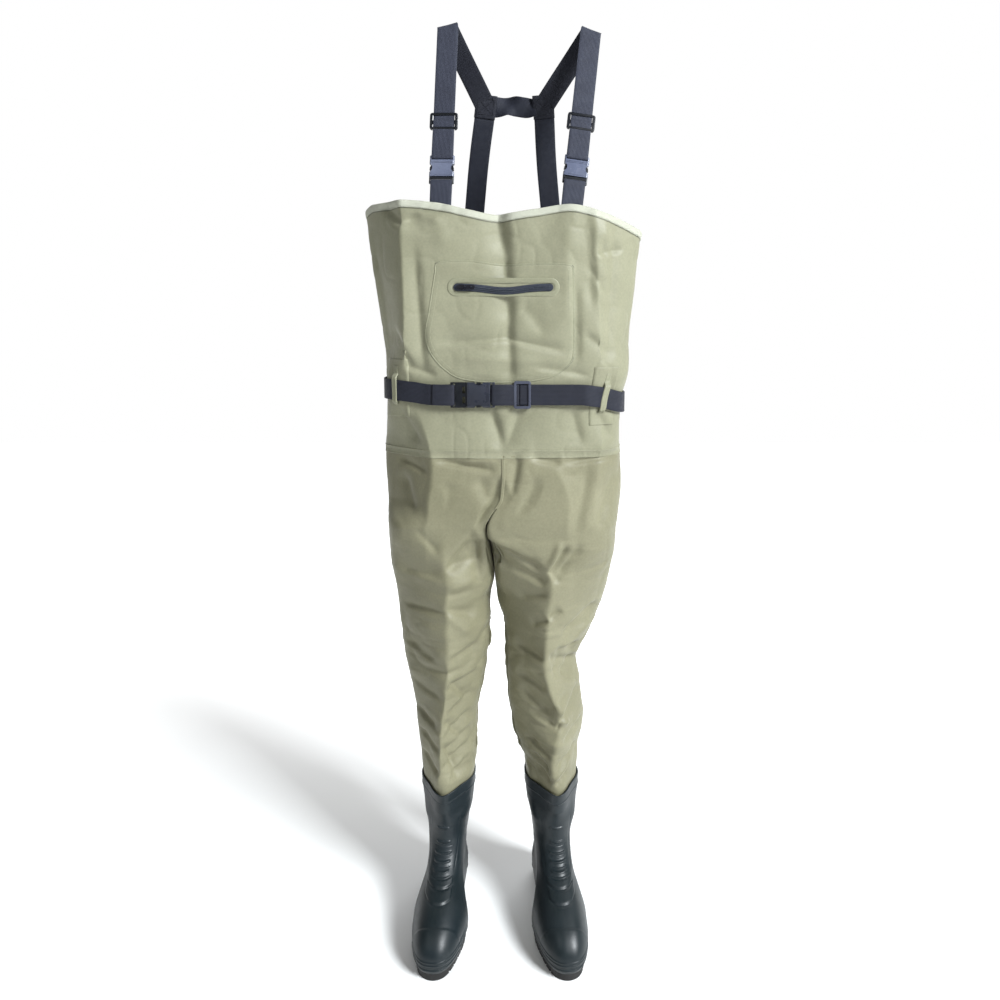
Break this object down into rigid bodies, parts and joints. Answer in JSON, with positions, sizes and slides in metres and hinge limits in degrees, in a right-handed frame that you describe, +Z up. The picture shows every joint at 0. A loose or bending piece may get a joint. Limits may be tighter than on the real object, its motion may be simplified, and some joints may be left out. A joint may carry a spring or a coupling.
{
  "type": "chest waders",
  "caption": "Chest waders: bib with zipped pocket, buckled belt, adjustable shoulder straps and welded-on boots, hung by the straps.",
  "frame": {"origin": "at the coat hanger that carries the shoulder straps, midway between the strap folds and level with them", "axes": "+Z up, along the hanging garment from soles to straps; +Y from the front of the bib to its back; +X to the wearer's left"},
  "size_m": [0.5164, 0.3323, 1.7214],
  "materials": {
    "bib_cloth": "coated woven polyester, matt",
    "leg_cloth": "coated woven polyester, matt",
    "binding_tape": "folded woven tape",
    "seam_tape": "welded seam tape",
    "strap_web": "ribbed webbing",
    "strap_web_dark": "stitched webbing",
    "elastic_web": "woven elastic",
    "belt_web": "ribbed webbing",
    "buckle_plastic": "moulded acetal",
    "zip_cloth": "woven zip tape",
    "zip_plastic": "nylon coil",
    "black_metal": "black painted",
    "boot_pvc": "moulded, slightly glossy",
    "sole_rubber": "moulded, matt",
    "insole_cloth": "felt"
  },
  "bodies": {
    "garment": {"bib_front_panel": "bib_cloth", "bib_back_panel": "bib_cloth", "bib_edge_binding": "binding_tape", "seat_front_panel": "leg_cloth", "seat_back_panel": "leg_cloth", "waist_seam_tape": "seam_tape", "crotch_gusset": "leg_cloth", "chest_pocket_panel": "bib_cloth", "zip_tape": "zip_cloth", "zip_coil": "zip_plastic", "belt_webbing": "belt_web", "belt_insert_webbing": "belt_web", "belt_adjuster_webbing": "belt_web", "belt_buckle_receiver": "buckle_plastic", "right_belt_loop": "seam_tape", "right_belt_loop_patch": "bib_cloth", "right_shoulder_strap": "strap_web", "right_adjuster_webbing": "strap_web", "right_bib_tab": "strap_web", "right_buckle_insert": "buckle_plastic", "right_yoke_patch": "strap_web_dark", "right_back_elastic": "elastic_web", "right_back_tab": "elastic_web", "left_belt_loop": "seam_tape", "left_belt_loop_patch": "bib_cloth", "left_shoulder_strap": "strap_web", "left_adjuster_webbing": "strap_web", "left_bib_tab": "strap_web", "left_buckle_insert": "buckle_plastic", "left_yoke_patch": "strap_web_dark", "left_back_elastic": "elastic_web", "left_back_tab": "elastic_web", "yoke_cross_strap": "strap_web_dark"},
    "right_leg": {"right_leg_front_panel": "leg_cloth", "right_leg_back_panel": "leg_cloth", "right_boot_upper": "boot_pvc", "right_boot_weld": "boot_pvc", "right_boot_outsole": "sole_rubber", "right_boot_insole": "insole_cloth"},
    "right_receiver": {"right_buckle_receiver": "buckle_plastic"},
    "right_outer_prong": {"right_buckle_outer_prong": "buckle_plastic"},
    "right_inner_prong": {"right_buckle_inner_prong": "buckle_plastic"},
    "right_slider": {"right_strap_slider": "buckle_plastic"},
    "left_leg": {"left_leg_front_panel": "leg_cloth", "left_leg_back_panel": "leg_cloth", "left_boot_upper": "boot_pvc", "left_boot_weld": "boot_pvc", "left_boot_outsole": "sole_rubber", "left_boot_insole": "insole_cloth"},
    "left_receiver": {"left_buckle_receiver": "buckle_plastic"},
    "left_outer_prong": {"left_buckle_outer_prong": "buckle_plastic"},
    "left_inner_prong": {"left_buckle_inner_prong": "buckle_plastic"},
    "left_slider": {"left_strap_slider": "buckle_plastic"},
    "belt_insert": {"belt_buckle_insert": "buckle_plastic"},
    "belt_lower_prong": {"belt_buckle_lower_prong": "buckle_plastic"},
    "belt_upper_prong": {"belt_buckle_upper_prong": "buckle_plastic"},
    "belt_slider": {"belt_slider": "buckle_plastic"},
    "zip_slider": {"zip_slider": "black_metal"},
    "zip_pull": {"zip_pull": "black_metal"}
  },
  "joints": [
    {"name": "right_hip", "type": "hinge", "parent": "garment", "child": "right_leg", "pos_m": [-0.107, 0, -0.961], "axis": [-1, 0, 0], "range_deg": [-15, 40]},
    {"name": "right_buckle", "type": "slide", "parent": "garment", "child": "right_receiver", "axis": [0.031, 0.238, 0.9708], "range_m": [0, 0.034], "deforming": ["right_adjuster_webbing", "right_buckle_outer_prong", "right_buckle_inner_prong"]},
    {"name": "right_outer_prong_flex", "type": "hinge", "parent": "garment", "child": "right_outer_prong", "pos_m": [-0.11563, -0.07304, -0.26914], "axis": [0.0597, 0.9691, -0.2395], "range_deg": [0, 14], "stiffness_Nm_per_rad": 0.1},
    {"name": "right_inner_prong_flex", "type": "hinge", "parent": "garment", "child": "right_inner_prong", "pos_m": [-0.09069, -0.07468, -0.26953], "axis": [-0.0597, -0.9691, 0.2395], "range_deg": [0, 14], "stiffness_Nm_per_rad": 0.1},
    {"name": "right_strap_adjuster", "type": "slide", "parent": "garment", "child": "right_slider", "axis": [0.031, 0.238, 0.9708], "range_m": [0, 0.11]},
    {"name": "left_hip", "type": "hinge", "parent": "garment", "child": "left_leg", "pos_m": [0.107, 0, -0.961], "axis": [-1, 0, 0], "range_deg": [-15, 40]},
    {"name": "left_buckle", "type": "slide", "parent": "garment", "child": "left_receiver", "axis": [0.1149, 0.2421, 0.9634], "range_m": [0, 0.034], "deforming": ["left_adjuster_webbing", "left_buckle_outer_prong", "left_buckle_inner_prong"]},
    {"name": "left_inner_prong_flex", "type": "hinge", "parent": "garment", "child": "left_inner_prong", "pos_m": [0.12045, -0.07431, -0.26812], "axis": [-0.0849, 0.9687, -0.2333], "range_deg": [0, 14], "stiffness_Nm_per_rad": 0.1},
    {"name": "left_outer_prong_flex", "type": "hinge", "parent": "garment", "child": "left_outer_prong", "pos_m": [0.14519, -0.07293, -0.27142], "axis": [0.0849, -0.9687, 0.2333], "range_deg": [0, 14], "stiffness_Nm_per_rad": 0.1},
    {"name": "left_strap_adjuster", "type": "slide", "parent": "garment", "child": "left_slider", "axis": [0.1149, 0.2421, 0.9634], "range_m": [0, 0.11]},
    {"name": "belt_buckle", "type": "slide", "parent": "garment", "child": "belt_insert", "axis": [-1, 0, 0], "range_m": [0, 0.045], "deforming": ["belt_insert_webbing", "belt_buckle_lower_prong", "belt_buckle_upper_prong"]},
    {"name": "belt_upper_prong_flex", "type": "hinge", "parent": "belt_insert", "child": "belt_upper_prong", "pos_m": [-0.0576, -0.1001, -0.6415], "axis": [0, 1, 0], "range_deg": [0, 14], "stiffness_Nm_per_rad": 0.1},
    {"name": "belt_lower_prong_flex", "type": "hinge", "parent": "belt_insert", "child": "belt_lower_prong", "pos_m": [-0.0576, -0.1001, -0.6685], "axis": [0, -1, 0], "range_deg": [0, 14], "stiffness_Nm_per_rad": 0.1},
    {"name": "belt_adjuster", "type": "slide", "parent": "garment", "child": "belt_slider", "axis": [1, 0, 0], "range_m": [0, 0.09]},
    {"name": "zip", "type": "slide", "parent": "garment", "child": "zip_slider", "axis": [1, 0, 0], "range_m": [0, 0.151]},
    {"name": "zip_pull_swing", "type": "hinge", "parent": "zip_slider", "child": "zip_pull", "pos_m": [-0.0685, -0.1022, -0.464], "axis": [0, 0, -1], "range_deg": [0, 170]}
  ],
  "couplings": [
    {"joint": "right_inner_prong_flex", "follows": "right_outer_prong_flex", "ratio": 1},
    {"joint": "left_inner_prong_flex", "follows": "left_outer_prong_flex", "ratio": 1},
    {"joint": "belt_lower_prong_flex", "follows": "belt_upper_prong_flex", "ratio": 1}
  ]
}
